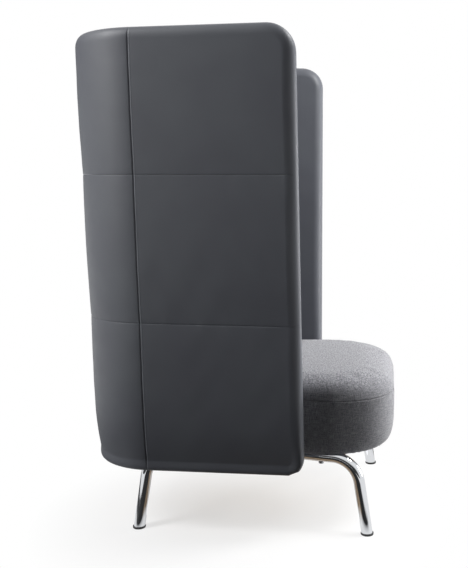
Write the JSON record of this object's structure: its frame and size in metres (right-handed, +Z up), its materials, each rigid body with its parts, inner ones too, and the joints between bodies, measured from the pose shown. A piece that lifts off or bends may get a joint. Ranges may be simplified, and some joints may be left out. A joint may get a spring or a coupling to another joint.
{
  "type": "acoustic high back lounge chair",
  "caption": "Lounge chair with a tall padded acoustic shell on three sides, a deep rounded seat and backrest cushion, and bent chromed tube legs.",
  "frame": {"origin": "on the floor, under the middle of the chair's bounding box", "axes": "+Z up, front of the chair faces -Y, +X to the sitter's left"},
  "size_m": [0.946, 0.9002, 1.375],
  "materials": {
    "shell_cover": "matt upholstery",
    "seat_fabric": "melange weave",
    "plywood": "sanded",
    "chromed_steel": "polished",
    "zinc_steel": "zinc plated",
    "black_plastic": "moulded",
    "foam": "cut foam",
    "webbing": "woven elastic strap"
  },
  "bodies": {
    "root": {"back_core": "plywood", "right_side_core": "plywood", "left_side_core": "plywood", "back_cover_bottom": "shell_cover", "back_cover_middle": "shell_cover", "back_cover_top": "shell_cover", "right_cover_bottom": "shell_cover", "right_cover_middle": "shell_cover", "right_cover_top": "shell_cover", "left_cover_bottom": "shell_cover", "left_cover_middle": "shell_cover", "left_cover_top": "shell_cover", "back_lining": "shell_cover", "right_lining": "shell_cover", "left_lining": "shell_cover", "right_seam_strip": "zinc_steel", "left_seam_strip": "zinc_steel", "seam_strip_screws": "zinc_steel", "seat_base_board": "plywood", "seat_box_frame": "plywood", "seat_cross_straps": "webbing", "seat_long_straps": "webbing", "seat_foam": "foam", "seat_side_band": "seat_fabric", "seat_top_cushion": "seat_fabric", "backrest_board": "plywood", "backrest_cushion": "seat_fabric", "backrest_screws": "zinc_steel", "shell_bolts": "zinc_steel", "shell_inserts": "zinc_steel", "shell_sleeves": "zinc_steel", "right_leg_tube": "chromed_steel", "left_leg_tube": "chromed_steel", "leg_saddles": "black_plastic", "leg_bolts": "zinc_steel", "leg_inserts": "zinc_steel", "front_right_glide": "black_plastic", "front_left_glide": "black_plastic", "rear_right_glide": "black_plastic", "rear_left_glide": "black_plastic"}
  },
  "joints": []
}
